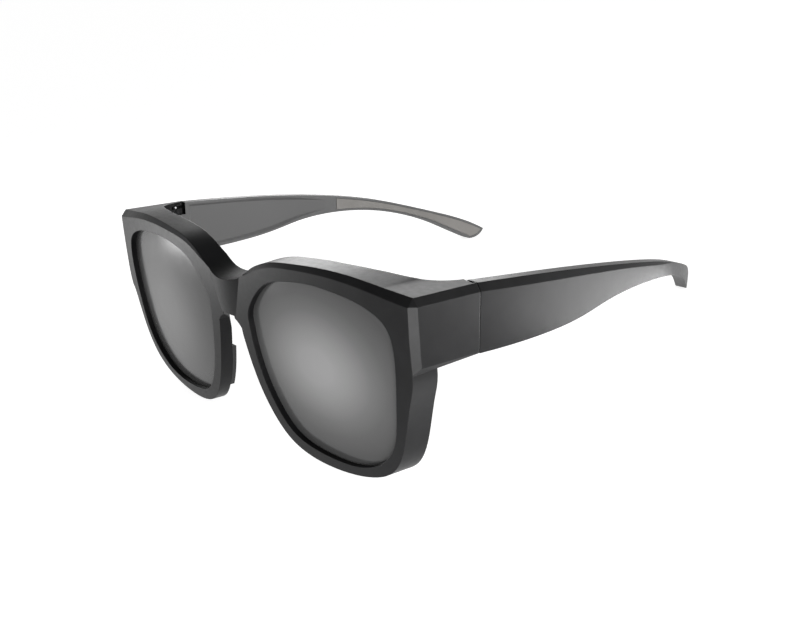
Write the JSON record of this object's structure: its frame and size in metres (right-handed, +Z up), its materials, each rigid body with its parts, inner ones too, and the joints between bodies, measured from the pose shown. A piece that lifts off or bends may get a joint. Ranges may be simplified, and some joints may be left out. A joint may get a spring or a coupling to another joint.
{
  "type": "fitover sunglasses",
  "caption": "Wraparound sunglasses with deep hollow rims that fit over prescription glasses, tinted lenses and broad folding temples.",
  "frame": {"origin": "on the floor under the middle of the glasses, as they stand open on their rims and temple tips", "axes": "+X to the wearer's left, +Y from the front towards the temple tips, +Z up"},
  "size_m": [0.152, 0.1356, 0.057],
  "materials": {
    "frame_plastic": "satin near-black moulded plastic",
    "lens_tint": "smoke grey polished lens",
    "nose_pad_rubber": "matt dark grey soft pad",
    "tip_pad_rubber": "matt light grey soft inlay",
    "screw_steel": "turned steel",
    "nut_brass": "plain brass insert"
  },
  "bodies": {
    "front": {"front_frame": "frame_plastic", "lens_left": "lens_tint", "lens_right": "lens_tint", "nose_pad_left": "nose_pad_rubber", "nose_pad_right": "nose_pad_rubber", "hinge_screw_left": "screw_steel", "hinge_screw_right": "screw_steel", "hinge_nut_left": "nut_brass", "hinge_nut_right": "nut_brass"},
    "left_temple": {"temple_left": "frame_plastic", "tip_pad_left": "tip_pad_rubber"},
    "right_temple": {"temple_right": "frame_plastic", "tip_pad_right": "tip_pad_rubber"}
  },
  "joints": [
    {"name": "left_temple_fold", "type": "hinge", "parent": "front", "child": "left_temple", "pos_m": [0.0714, -0.03972, 0.04972], "axis": [0, 0.2585, 0.966], "range_deg": [0, 84]},
    {"name": "right_temple_fold", "type": "hinge", "parent": "front", "child": "right_temple", "pos_m": [-0.0714, -0.03972, 0.04972], "axis": [0, -0.2585, -0.966], "range_deg": [0, 73]}
  ]
}
